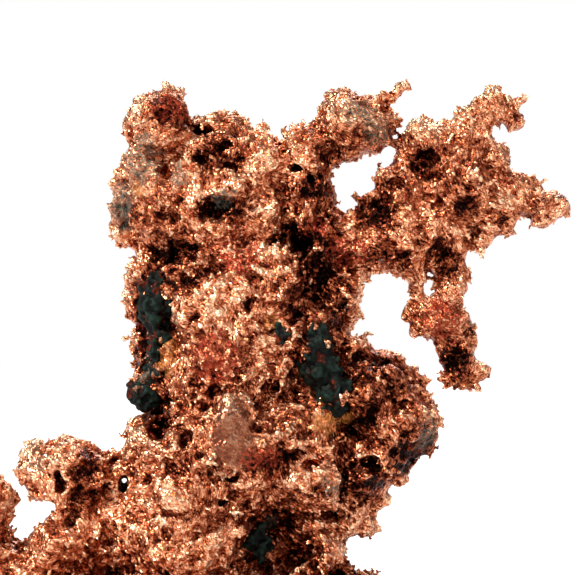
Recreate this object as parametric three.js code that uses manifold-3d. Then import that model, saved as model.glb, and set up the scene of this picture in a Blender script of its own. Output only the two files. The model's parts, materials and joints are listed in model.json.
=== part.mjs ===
// A branching nugget of native copper with green copper minerals in its hollows.
// Millimetres, +Z up. The front faces -Y and the longest way across runs along X.
// The metal grew as one piece. It is parted here where its main branches fork, and
// each green filling is a solid of its own in the pocket that it grew in.
import * as THREE from 'three';
import { mergeVertices } from 'three/addons/utils/BufferGeometryUtils.js';
import Module from 'manifold-3d';

const wasm = await Module();
wasm.setup();

// Driving dimensions, mm
const GAP = 0.3;                // clear space left at a fork, and round each filling
const CUT_SIZE = 120;           // blocks that part the branches reach this far
const FOOT_TOP = 12;            // the foot ends and the branches start
const FOOT_BASE = 0;            // flat underside that the nugget rests on
const CROWN_BASE = 53;          // the left crown leaves the trunk
const ARM_BASE = 55.5;          // the middle arm leaves the trunk
const ARM_LEFT = 4.8;           // the saddle between crown and middle arm
const ARM_RIGHT = 18.5;         // the middle arm nearly meets the fan here
const ARM_TIP_BASE = 70.6;      // above this the wiry tip reaches over the fan
const FAN_ROOT = 12.6;          // the fan leaves the trunk's right shoulder
const FAN_BASE = 49.4;          // the hanging branch leaves the fan
const LOBE_ROOT = 11.5;         // the right lobe leaves the trunk
const LOBE_TOP = 42.3;
const KNOB_ROOT = -17;          // the left knob leaves the trunk
const OUTER_ROOT = -28.7;       // the far left lobe leaves the left knob

// Roughness of the rocky lumps
const LUMP_JITTER = 0.13;       // share of a lump's half-width that a corner moves
const LUMP_LEAN = 0.22;         // radians that a lump leans at most
const SMALL_LUMP = 4.4;         // mm, lumps below this half-width get fewer faces

// Each branch is heaped up from lumps, and hollowed by pits.
// A lump or pit is [x, y, z of its middle, half-width along x, along y, along z], mm.
const BRANCHES = {
  foot: {
    lumps: [
      [-26, 0, 6, 12, 11.5, 7.6],
      [-10, 0, 5, 14, 15, 8.6],
      [5, 0.5, 4.6, 14, 16.4, 9],
      [-33, 0.5, 8.5, 6.5, 8, 6],
      [12, 1.5, 6, 7.6, 11, 7.6],
    ],
    pits: [
      [3.8, -13.5, 12.6, 5, 8, 4.2],
      [-19, -14, 4, 4, 4, 4],
    ],
  },
  trunk: {
    lumps: [
      [1, 1, 47, 12, 9.5, 9],
      [-6.4, 0, 49.6, 8.4, 8.5, 7.4],
      [-2.5, -0.5, 38, 10.5, 10.5, 9.5],
      [6, 2.5, 40, 8, 8, 9],
      [-13, 1.5, 46, 3, 4, 3.4],
      [-11.8, 2, 38.5, 2.6, 4.5, 6],
      [-13.4, 1.5, 30.2, 2, 3, 2.4],
      [-3, -1.5, 27.5, 12.5, 11.5, 9],
      [5.5, 1, 27, 9.5, 11, 10],
      [-8, 0, 18, 11, 11.5, 8],
      [3, 1, 16, 10.5, 11.5, 8],
      [-14.6, 0, 22.6, 3.4, 6, 4.8],
      [-1.5, -9.8, 30, 3.8, 3.2, 5.5],
      [8, -5, 24, 5.5, 6, 4],
      [11, 0.5, 48.3, 4, 6, 4.2],
      [12.2, 1, 44.6, 2.8, 3.5, 1.3],
      [8.4, 0, 53.4, 5.6, 6.6, 3.6],
      [-4, 7.5, 34, 7, 5, 9],
      [5, 8, 24, 7, 5, 7],
      [0, 7, 48, 7, 4, 6],
      [-5, -8, 45, 4.5, 3, 5],
      [-7.5, -9, 22, 5, 4, 4.5],
    ],
    pits: [
      [10.5, -9.5, 44.5, 6, 5.5, 8.5],
      [3.8, -9.5, 14, 5.8, 8, 7.6],
      [-6.5, -11, 53.5, 3, 4, 2.6],
    ],
  },
  left_crown: {
    lumps: [
      [-5, 0, 58, 10.5, 8.5, 7.5],
      [-11.8, 0.5, 60, 5, 6.5, 6.5],
      [-10.6, 0, 68, 4.6, 6, 5],
      [-3, 1, 65, 6, 6.5, 5],
      [0.9, 0, 62.3, 5, 6, 6],
      [1.2, 0, 56.4, 4.4, 7, 4.4],
      [-9, 0, 71.5, 2.3, 2.6, 2.3],
      [-12.9, -0.5, 70.8, 1.7, 2, 1.8],
      [-15, 0, 57.4, 2.2, 3, 3],
      [-15, 0.2, 54.6, 1.9, 2.8, 1.8],
      [-3.2, -5.5, 60.5, 4, 3.5, 4],
      [-8, 4.6, 63, 5.4, 5.2, 6.6],
      [-11.8, -5.5, 58, 3.5, 3, 4],
      [-3, 0.5, 68.7, 2.5, 3, 1.9],
    ],
    pits: [
      [-5.2, -5.5, 67.3, 1.6, 3, 1],
      [-2, -9, 63.6, 2.2, 3.5, 1.4],
      [-9.2, -7.5, 62.4, 1.8, 3, 1.8],
    ],
  },
  middle_arm: {
    lumps: [
      [7.3, -0.5, 58.8, 4, 5.5, 6.4],
      [7.6, 0, 65, 3.7, 4.8, 4.2],
      [12.1, -0.5, 68, 4.4, 4.6, 4.8],
      [15.7, 0, 67.8, 3.2, 3.8, 3.9],
      [15.4, 0.4, 70.9, 2.1, 2.4, 1.7],
      [17.6, 0.3, 71.7, 1.7, 1.8, 1.5],
      [19.6, 0.2, 72.9, 1.1, 1, 1.2],
      [12.6, -3.2, 69, 2.6, 2, 2.4],
      [10.2, 0, 56.4, 2.3, 4.4, 1.9],
    ],
    pits: [
      [7.4, -6.5, 62.2, 2.2, 2.5, 0.9],
    ],
  },
  right_fan: {
    lumps: [
      [15.2, 0, 53.6, 4.7, 4.8, 4.2],
      [21, -0.5, 54.8, 5.5, 4.8, 4.9],
      [20, 0, 60.4, 3.9, 4.2, 4.5],
      [22.3, 0.3, 65, 4, 4.2, 4.4],
      [26.2, -0.5, 61.5, 5.2, 4.8, 6.5],
      [24.4, 0, 67.4, 2.8, 3.2, 2.3],
      [28.6, 0, 67.5, 3, 3.4, 4],
      [31, 0.2, 70.9, 3.1, 2.8, 2.6],
      [33.5, 0.2, 69.3, 1.4, 1.8, 2],
      [31, 0, 64.2, 2.3, 2.8, 3],
      [33, 0.2, 60.9, 2.6, 2.6, 1.6],
      [30.8, -0.3, 57.6, 3.9, 3.8, 3.9],
      [35.6, 0, 58.6, 3.2, 2.8, 2.4],
      [38.8, 0.2, 57.9, 1.7, 1.9, 1.8],
      [36.8, 0.2, 56.6, 1.4, 1.7, 1.4],
      [29.2, 0, 54.2, 1.8, 2.4, 1.7],
      [25.2, 0.5, 53, 2.9, 3.6, 3.2],
      [23.2, 0.2, 50.8, 4.2, 3.2, 1.8],
      [14.9, -0.5, 59.1, 2, 1.6, 1.1],
      [24, 3.2, 59.4, 4, 3.4, 5],
    ],
    pits: [
      [22.5, -5.2, 64, 1.6, 2.6, 1.2],
      [23.5, -6.3, 57.9, 1.3, 2.6, 1],
    ],
  },
  hanging_branch: {
    lumps: [
      [21.4, 0, 47.6, 1, 1.8, 2.8],
      [25.5, 0, 47.4, 1.9, 2.4, 3.2],
      [23.3, -0.3, 44.1, 4.5, 3, 3],
      [28, 0, 43.2, 1.4, 1.8, 1.1],
      [26.2, 0, 40.5, 3.1, 2.8, 3.6],
      [27.2, 0.2, 37.6, 2.9, 2.4, 2.1],
      [25.1, -0.2, 36.7, 1.5, 1.6, 1.5],
    ],
    pits: [],
  },
  right_lobe: {
    lumps: [
      [14.5, 0.5, 33.5, 7, 8, 6.5],
      [18.8, 0, 31.5, 5.4, 6.5, 5],
      [15.2, 0.5, 25.4, 5.6, 7.5, 5.2],
      [12.4, 1, 19.6, 4.2, 7, 4],
      [13, 0.5, 39.8, 2.8, 5, 2.3],
      [17, -0.5, 38.6, 3.2, 4, 1.9],
      [20.6, 0.3, 37.4, 1.6, 2, 1.1],
      [22.3, -0.5, 33.8, 1.7, 3, 2.2],
      [21.8, 0, 28.8, 2.2, 3.4, 2.4],
      [18.2, -4.8, 30.5, 3.8, 3, 3],
      [19.8, 0.3, 24.2, 1.3, 1.4, 1.2],
      [11.6, 0.5, 13.8, 1.8, 6, 3],
    ],
    pits: [
      [14.6, -7.6, 26.3, 2.4, 3, 0.9],
    ],
  },
  left_knob: {
    lumps: [
      [-22.6, -1, 24.7, 5.8, 6.5, 4.8],
      [-25.5, -1.5, 26, 3.2, 4.5, 3.6],
      [-19, 0, 21.4, 5, 6, 6.4],
      [-22, 0.5, 15.5, 6.5, 7.5, 4.5],
      [-19.5, -5, 24.5, 2.8, 2.5, 3.5],
      [-23.5, -5.2, 21.8, 2.5, 2.2, 3],
      [-27, 0, 13.8, 3, 5.5, 3.2],
    ],
    pits: [
      [-22.6, -8.2, 24.2, 0.9, 2.2, 2.4],
    ],
  },
  far_left_lobe: {
    lumps: [
      [-33.5, 0, 19.5, 4.8, 6, 5.8],
      [-35, 1, 14.5, 5, 6.5, 5],
      [-30.7, -0.5, 21, 2.6, 3.5, 4.2],
      [-31.5, 0, 13.8, 3.2, 5, 3.6],
    ],
    pits: [],
  },
};

// Green fillings, as lumps in the same form. Each lies in a pocket of the metal.
const FILLINGS = {
  green_filling_left: [
    [-11, -4, 46.2, 2, 2.8, 3.6],
    [-10.7, -4.2, 41.5, 1.5, 2.4, 2.8],
    [-10.9, -4, 37.6, 1.6, 2.4, 2.6],
    [-12.3, -3.4, 35, 2, 2.2, 1.6],
  ],
  green_filling_middle: [
    [4.7, -5.6, 42.2, 2, 2.4, 2.4],
    [7.8, -5.4, 40.9, 2.4, 2.6, 3.6],
    [9.6, -5.2, 38, 2.4, 2.6, 3],
    [11.2, -5.6, 35, 2.4, 2.6, 2.4],
  ],
  green_filling_lower: [
    [1.2, -2.6, 16.4, 2.2, 2.2, 2.4],
    [2.2, -3.4, 19.6, 1.9, 2, 2],
  ],
};

// Every lump and pit has a seed of its own. The seeds of a heap follow one another.
const BRANCH_SEEDS = 100;       // from one branch to the next
const PIT_SEEDS = 50;           // from a branch's lumps to its pits
const FILLING_SEED = 900;       // the first filling's
const FILLING_SEEDS = 20;       // from one filling to the next

// The linear congruential generator that draws the roughness
const WORD = 2 ** 32;
const SPREAD = 2654435761;
const FACTOR = 1664525;
const INCREMENT = 1013904223;

// A repeatable run of numbers from 0 to 1, one run for each seed.
function seededRandom(seed) {
  let state = seed * SPREAD % WORD;
  return () => {
    state = (state * FACTOR + INCREMENT) % WORD;
    return state / WORD;
  };
}

function toSolid(geometry) {
  const bare = geometry.clone();
  bare.deleteAttribute('normal');
  bare.deleteAttribute('uv');
  const merged = mergeVertices(bare);
  const mesh = new wasm.Mesh({
    numProp: 3,
    vertProperties: Float32Array.from(merged.attributes.position.array),
    triVerts: Uint32Array.from(merged.index.array),
  });
  return new wasm.Manifold(mesh);
}

function toGeometry(solid) {
  const mesh = solid.getMesh();
  const geometry = new THREE.BufferGeometry();
  geometry.setAttribute('position', new THREE.BufferAttribute(mesh.vertProperties, 3));
  geometry.setIndex(new THREE.BufferAttribute(mesh.triVerts, 1));
  geometry.computeVertexNormals();
  return geometry;
}

// One rocky lump: a faceted ball with its corners moved in and out, stretched and leant.
function lumpGeometry([x, y, z, halfX, halfY, halfZ], seed, grow = 0) {
  const random = seededRandom(seed);
  const detail = Math.max(halfX, halfY, halfZ) < SMALL_LUMP ? 0 : 1;
  const ball = new THREE.IcosahedronGeometry(1, detail);
  ball.deleteAttribute('normal');
  ball.deleteAttribute('uv');
  const geometry = mergeVertices(ball);
  const corner = new THREE.Vector3();
  const corners = geometry.attributes.position;
  for (let i = 0; i < corners.count; i += 1) {
    corner.fromBufferAttribute(corners, i);
    corner.multiplyScalar(1 + LUMP_JITTER * (2 * random() - 1));
    corners.setXYZ(i, corner.x, corner.y, corner.z);
  }
  geometry.scale(halfX + grow, halfY + grow, halfZ + grow);
  geometry.rotateX(LUMP_LEAN * (2 * random() - 1));
  geometry.rotateY(LUMP_LEAN * (2 * random() - 1));
  geometry.rotateZ(LUMP_LEAN * (2 * random() - 1));
  geometry.translate(x, y, z);
  return geometry;
}

function heap(lumps, seed, grow = 0) {
  const solids = lumps.map((lump, i) => toSolid(lumpGeometry(lump, seed + i, grow)));
  return solids.reduce((heaped, solid) => heaped.add(solid));
}

// A block given by its limits. A limit that is left out lies far outside the nugget.
function block({ left = -CUT_SIZE, right = CUT_SIZE, bottom = -CUT_SIZE, top = CUT_SIZE }) {
  const geometry = new THREE.BoxGeometry(right - left, CUT_SIZE, top - bottom);
  geometry.translate((left + right) / 2, 0, (bottom + top) / 2);
  return toSolid(geometry);
}

// The space that each branch may fill, up to half a gap from every fork.
const HALF_GAP = GAP / 2;
const SPACES = {
  foot: { bottom: FOOT_BASE, top: FOOT_TOP - HALF_GAP },
  left_crown: { right: ARM_LEFT - HALF_GAP, bottom: CROWN_BASE + HALF_GAP },
  middle_arm: { left: ARM_LEFT + HALF_GAP, bottom: ARM_BASE + HALF_GAP },
  right_fan: { left: FAN_ROOT + HALF_GAP, bottom: FAN_BASE + HALF_GAP },
  hanging_branch: { top: FAN_BASE - HALF_GAP },
  right_lobe: { left: LOBE_ROOT + HALF_GAP, bottom: FOOT_TOP + HALF_GAP, top: LOBE_TOP - HALF_GAP },
  left_knob: { left: OUTER_ROOT + HALF_GAP, right: KNOB_ROOT - HALF_GAP, bottom: FOOT_TOP + HALF_GAP },
  far_left_lobe: { right: OUTER_ROOT - HALF_GAP, bottom: FOOT_TOP + HALF_GAP },
};

// What the trunk gives up to its branches, half a gap wider than their own spaces.
const TRUNK_CUTS = [
  { top: FOOT_TOP + HALF_GAP },
  { right: ARM_LEFT + HALF_GAP, bottom: CROWN_BASE - HALF_GAP },
  { left: ARM_LEFT - HALF_GAP, bottom: ARM_BASE - HALF_GAP },
  { left: FAN_ROOT - HALF_GAP, bottom: FAN_BASE - HALF_GAP },
  { left: LOBE_ROOT - HALF_GAP, top: LOBE_TOP + HALF_GAP },
  { right: KNOB_ROOT + HALF_GAP },
];

function fillingSeed(i) {
  return FILLING_SEED + FILLING_SEEDS * i;
}

const pockets = Object.values(FILLINGS).map((lumps, i) => heap(lumps, fillingSeed(i), GAP));

function branchSolid(name, seed) {
  const { lumps, pits } = BRANCHES[name];
  let solid = heap(lumps, seed);
  if (pits.length > 0) {
    solid = solid.subtract(heap(pits, seed + PIT_SEEDS));
  }
  for (const pocket of pockets) {
    solid = solid.subtract(pocket);
  }
  if (name === 'trunk') {
    for (const cut of TRUNK_CUTS) {
      solid = solid.subtract(block(cut));
    }
    return solid;
  }
  if (name === 'middle_arm') {
    solid = solid.subtract(block({ left: ARM_RIGHT - HALF_GAP, top: ARM_TIP_BASE }));
  }
  return solid.intersect(block(SPACES[name]));
}

function copperMaterial() {
  return new THREE.MeshStandardMaterial({ color: 0xb5694a, roughness: 0.45, metalness: 1 });
}

function greenMaterial() {
  return new THREE.MeshStandardMaterial({ color: 0x24493f, roughness: 0.6, metalness: 0 });
}

function namedMesh(name, solid, material) {
  const mesh = new THREE.Mesh(toGeometry(solid), material);
  mesh.name = name;
  return mesh;
}

const group = new THREE.Group();
Object.keys(BRANCHES).forEach((name, i) => {
  group.add(namedMesh(name, branchSolid(name, BRANCH_SEEDS * (i + 1)), copperMaterial()));
});
Object.keys(FILLINGS).forEach((name, i) => {
  group.add(namedMesh(name, heap(FILLINGS[name], fillingSeed(i)), greenMaterial()));
});

// The origin is on the underside, below the middle of the nugget's bounding box.
const middle = new THREE.Box3().setFromObject(group).getCenter(new THREE.Vector3());
for (const mesh of group.children) {
  mesh.geometry.translate(-middle.x, -middle.y, 0);
}

export default group;
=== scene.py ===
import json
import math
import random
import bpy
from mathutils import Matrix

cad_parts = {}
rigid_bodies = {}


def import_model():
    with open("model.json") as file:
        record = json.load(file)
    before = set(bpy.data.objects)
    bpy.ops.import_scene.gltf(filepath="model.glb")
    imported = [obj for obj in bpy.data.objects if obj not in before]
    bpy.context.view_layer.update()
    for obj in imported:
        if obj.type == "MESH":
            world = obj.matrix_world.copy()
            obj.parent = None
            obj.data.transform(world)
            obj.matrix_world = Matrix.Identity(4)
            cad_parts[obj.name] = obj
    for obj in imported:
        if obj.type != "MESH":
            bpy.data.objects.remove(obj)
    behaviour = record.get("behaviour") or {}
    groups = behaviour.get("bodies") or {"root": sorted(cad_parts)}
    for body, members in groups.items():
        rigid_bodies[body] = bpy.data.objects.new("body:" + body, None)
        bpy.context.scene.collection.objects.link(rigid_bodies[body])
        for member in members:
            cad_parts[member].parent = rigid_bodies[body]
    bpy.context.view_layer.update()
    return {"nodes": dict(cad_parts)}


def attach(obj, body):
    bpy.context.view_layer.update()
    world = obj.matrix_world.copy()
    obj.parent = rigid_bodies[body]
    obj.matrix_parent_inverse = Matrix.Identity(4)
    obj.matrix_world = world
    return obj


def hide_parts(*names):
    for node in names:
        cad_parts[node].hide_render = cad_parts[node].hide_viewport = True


bl_info = {
    "name": "Native copper nugget",
    "version": (1, 0, 0),
    "blender": (4, 5, 0),
    "location": "View3D > Sidebar > Nugget",
    "description": "Builds the hackly surface of a branching native copper nugget",
    "category": "Add Mesh",
}

import bmesh
import bpy
from mathutils import Euler, Matrix, Vector

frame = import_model()

MM = 0.001
FAR = 200  # mm, past every side of the nugget

# The metal pieces: the solid that each one shows, its most triangles, and the blocks of space
# that it fills, as limits in mm along X, Y and Z. The blocks meet at the forks. The trunk and
# the foot are each made as a front and a back, because they hold the most grains.
ALL = (-FAR, FAR)
FRONT = (-FAR, 0)
BACK = (0, FAR)
METAL_PIECES = {
    "foot_front": ("foot", 56000, [(ALL, FRONT, (-FAR, 12))]),
    "foot_back": ("foot", 50000, [(ALL, BACK, (-FAR, 12))]),
    "trunk_front": ("trunk", 155000, [
        ((-17, 11.5), FRONT, (12, 53)), ((4.8, 12.6), FRONT, (50, 55.5)),
        ((11, 17), FRONT, (42.3, 49.4))]),
    "trunk_back": ("trunk", 75000, [
        ((-17, 11.5), BACK, (12, 53)), ((4.8, 12.6), BACK, (50, 55.5)),
        ((11, 17), BACK, (42.3, 49.4))]),
    "left_crown_metal": ("left_crown", 142000, [((-FAR, 4.8), ALL, (53, FAR))]),
    "middle_arm_metal": ("middle_arm", 85000, [
        ((4.8, 18.5), ALL, (55.5, FAR)), ((18, 22), ALL, (70.6, FAR))]),
    "right_fan_metal": ("right_fan", 135000, [
        ((12.6, 18.6), ALL, (49.4, 64.5)), ((18.4, FAR), ALL, (49.4, 70.6)),
        ((24, FAR), ALL, (70, FAR))]),
    "hanging_branch_metal": ("hanging_branch", 50000, [((17.5, FAR), ALL, (34.2, 49.4))]),
    "right_lobe_metal": ("right_lobe", 90000, [
        ((11.5, 23.2), ALL, (12, 42.3)), ((23, 25.5), ALL, (12, 35.4))]),
    "left_knob_metal": ("left_knob", 55000, [((-28.7, -17), ALL, (12, 40))]),
    "far_left_lobe_metal": ("far_left_lobe", 30000, [((-FAR, -28.7), ALL, (12, 40))]),
}
FILLINGS = ("green_filling_left", "green_filling_middle", "green_filling_lower")

FORK_OVERLAP = 0.8  # mm of metal that neighbours share across a fork
FORK_SWELL = 0.22  # mm that each solid grows, so that the gaps at the forks close
GRAIN_ROOM = 0.3  # mm that the fused mass shrinks, to leave room for grains
CRUST_SWELL = 0.7  # mm that the green crusts grow over the metal
UNDERSIDE_MARGIN = 1.5  # mm of metal below the floor plane, cut off flat once it is rough
NUB_DEPTH = 1.1  # mm, half the size of a nub from front to back
NUB_PLACE = -0.4  # mm, where the middle of a nub lies from front to back
OVERGROWTH_DEPTH = 1.4  # mm, half the size of an overgrowth from front to back
OVERGROWTH_PLACE = -5  # mm, where it lies from front to back if it is beside the crust
NOTCH_DEPTH = 22  # mm, half the size of a notch from front to back

# Small knobs and tips on the outline: x, z, half-width, half-height, mm
NUBS = [
    (-7.7, 73.2, 0.8, 0.7), (-13.3, 71.7, 0.6, 0.6), (34.0, 71.2, 0.7, 1.0),
    (35.8, 61.0, 1.0, 0.7), (38.2, 60.0, 0.8, 0.5), (33.2, 54.8, 0.9, 0.6),
    (31.2, 54.3, 1.2, 0.5), (30.0, 37.6, 0.8, 0.9), (27.2, 35.6, 1.4, 0.6),
    (22.2, 36.6, 1.0, 0.7), (19.0, 69.6, 0.45, 0.9), (14.2, 44.1, 0.9, 0.4),
    (20.2, 23.6, 0.7, 0.5), (-16.0, 28.6, 0.5, 0.8), (-15.4, 30.0, 0.6, 0.5),
    (-16.3, 27.0, 0.4, 0.4), (13.6, 59.3, 1.0, 0.5), (27.2, 49.9, 0.5, 0.5),
]

# Copper that has grown over the green crusts: x, z, half-width, half-height, mm, and lean
# in degrees
OVERGROWTHS = {
    "green_filling_middle": [
        (6.3, 35.4, 1.6, 1.1, 20), (6.1, 42.4, 0.5, 1.9, -10), (3.6, 40.2, 0.9, 2.0, 0),
        (12.2, 38.6, 1.0, 1.6, 30), (9.0, 44.3, 1.4, 0.6, 0), (13.6, 34.6, 0.8, 0.7, 0),
        (10.6, 40.6, 0.7, 0.9, 20),
    ],
    "green_filling_left": [
        (-14.2, 44.2, 0.5, 1.4, 0), (-14.2, 40.0, 0.6, 1.2, 0), (-12.4, 36.6, 0.9, 0.6, 20),
    ],
    "green_filling_lower": [
        (1.6, 18.6, 1.0, 0.7, 0), (4.4, 14.6, 0.8, 1.0, 20), (0.4, 15.0, 0.8, 0.8, 0),
    ],
}

# Notches and holes that go right through, front to back: x, z, half-width, half-height, mm
NOTCHES = [
    (4.9, 68.3, 0.9, 2.0), (7.4, 71.5, 1.8, 1.5), (11.6, 58.4, 1.1, 1.3),
    (14.2, 63.4, 2.0, 1.0), (18.2, 49.2, 2.6, 1.1), (15.4, 47.3, 1.3, 1.6),
    (13.9, 43.0, 1.9, 0.8), (16.8, 41.9, 2.0, 1.0), (20.3, 40.4, 1.7, 1.2),
    (18.6, 22.6, 1.5, 1.1), (13.7, 15.2, 1.7, 2.0), (17.0, 18.3, 0.9, 1.6),
    (-26.3, 20.4, 2.2, 1.5), (-15.4, 49.6, 0.8, 1.5), (-17.7, 54.6, 0.7, 1.1),
    (28.9, 44.3, 1.3, 0.9), (34.2, 65.0, 1.3, 1.3), (26.8, 71.4, 1.5, 1.2),
    (-16.2, 69.5, 0.8, 2.0), (9.3, 56.3, 0.9, 0.5), (22.7, 48.6, 1.2, 2.1),
    (16.9, 45.6, 2.5, 3.9), (14.2, 43.0, 1.8, 1.4), (-15.6, 28.9, 0.9, 1.5),
    (-15.2, 23.8, 0.9, 0.9), (20.6, 24.2, 0.8, 0.5), (-24.6, 21.2, 1.4, 1.0),
]

# Hollows that open to the front: middle along X and Z, half-width, half-height, depth, mm,
# and lean in degrees
FRONT_HOLLOWS = [
    (-14.0, 66.4, 0.9, 1.9, 3.5, 10), (-5.0, 67.4, 1.7, 1.0, 3.0, 0),
    (-2.3, 65.4, 0.9, 0.8, 2.5, 0), (-2.0, 62.6, 1.3, 1.0, 2.6, 0),
    (-5.7, 63.6, 0.9, 1.1, 2.5, 0), (-10.0, 62.0, 1.5, 1.0, 2.0, 30),
    (-5.2, 58.5, 1.2, 0.8, 2.6, -20), (-3.4, 57.4, 1.8, 1.1, 3.2, -20),
    (-0.6, 57.0, 1.2, 0.6, 2.2, 20), (-7.4, 70.4, 0.9, 1.4, 2.0, 0),
    (-9.6, 69.3, 1.6, 1.0, 1.2, 0), (-8.5, 52.6, 3.2, 1.7, 3.4, 0),
    (6.8, 62.6, 1.1, 0.6, 2.4, 15), (8.3, 61.7, 0.9, 0.6, 2.4, -35),
    (6.6, 53.4, 2.2, 1.6, 3.2, 0), (2.0, 49.0, 1.2, 0.7, 1.5, 0),
    (-10.5, 31.5, 1.9, 2.7, 4.5, 0), (-1.5, 25.0, 1.6, 1.1, 2.0, 0),
    (8.5, 26.5, 1.4, 0.8, 2.0, 10), (14.7, 26.3, 2.2, 0.8, 2.6, -8),
    (-3.0, 22.0, 1.2, 0.9, 2.2, 0), (-19.0, 24.2, 0.7, 1.9, 2.6, 0),
    (-22.8, 24.2, 0.8, 2.1, 2.6, 0), (22.5, 64.0, 1.6, 1.1, 2.2, 0),
    (18.2, 60.6, 0.9, 0.8, 2.0, 0), (23.5, 58.0, 0.9, 0.7, 2.0, 0),
    (28.0, 60.0, 0.8, 0.6, 1.6, 0), (31.0, 58.8, 0.9, 0.6, 1.6, 0),
    (25.0, 66.8, 0.9, 0.6, 1.2, 0), (19.0, 33.5, 1.4, 0.9, 2.0, 20),
    (16.5, 36.6, 1.5, 0.8, 2.0, 0), (9.5, 48.5, 2.8, 3.6, 2.6, 10),
    (12.0, 30.6, 2.0, 0.8, 1.8, 25), (-11.6, 52.2, 1.6, 1.0, 2.0, 0),
    (3.4, 36.0, 1.0, 1.6, 1.8, 20), (-7.2, 29.5, 0.9, 1.5, 1.6, 0),
    (-24.0, 7.0, 2.0, 1.4, 2.4, 0), (-8.0, 6.0, 1.8, 1.1, 2.0, 10),
    (10.0, 7.0, 1.6, 1.2, 2.0, 0), (-12.0, 44.6, 1.3, 3.0, 1.4, 0),
    (-12.4, 37.6, 1.4, 2.6, 1.6, 0), (-11.6, 33.8, 1.2, 1.6, 1.6, 0),
    (9.6, 39.8, 1.5, 3.6, 0.9, -22), (4.4, 41.8, 0.9, 1.6, 0.9, 0),
    (3.6, 16.6, 2.2, 1.6, 1.4, 0), (6.6, 14.4, 1.8, 1.0, 1.6, 0),
]

# Hollows that open to the back, in the same form
BACK_HOLLOWS = [
    (-6.0, 62.0, 1.8, 1.2, 2.4, 20), (2.0, 58.0, 1.2, 1.0, 2.2, 0),
    (-10.0, 54.0, 1.6, 1.1, 2.2, 0), (5.0, 50.0, 2.2, 1.6, 2.4, 15),
    (-3.0, 45.0, 1.2, 2.4, 2.4, -10), (9.0, 42.0, 1.4, 1.2, 2.0, 0),
    (-8.0, 37.0, 1.6, 1.3, 2.2, 0), (3.0, 33.0, 2.4, 1.4, 2.6, -20),
    (-1.0, 24.0, 1.4, 2.0, 2.4, 10), (12.0, 29.0, 1.6, 1.1, 2.2, 0),
    (-12.0, 20.0, 2.0, 1.3, 2.4, 0), (6.0, 18.0, 2.2, 1.5, 2.6, 20),
    (-22.0, 22.0, 1.3, 1.1, 2.0, 0), (24.0, 60.0, 1.2, 0.9, 1.6, 0),
    (28.0, 66.0, 0.9, 0.7, 1.4, 0), (20.0, 55.0, 1.1, 0.8, 1.6, 0),
    (-16.0, 7.0, 2.2, 1.3, 2.4, 0), (2.0, 6.0, 1.6, 1.0, 2.0, 0),
]

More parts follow.
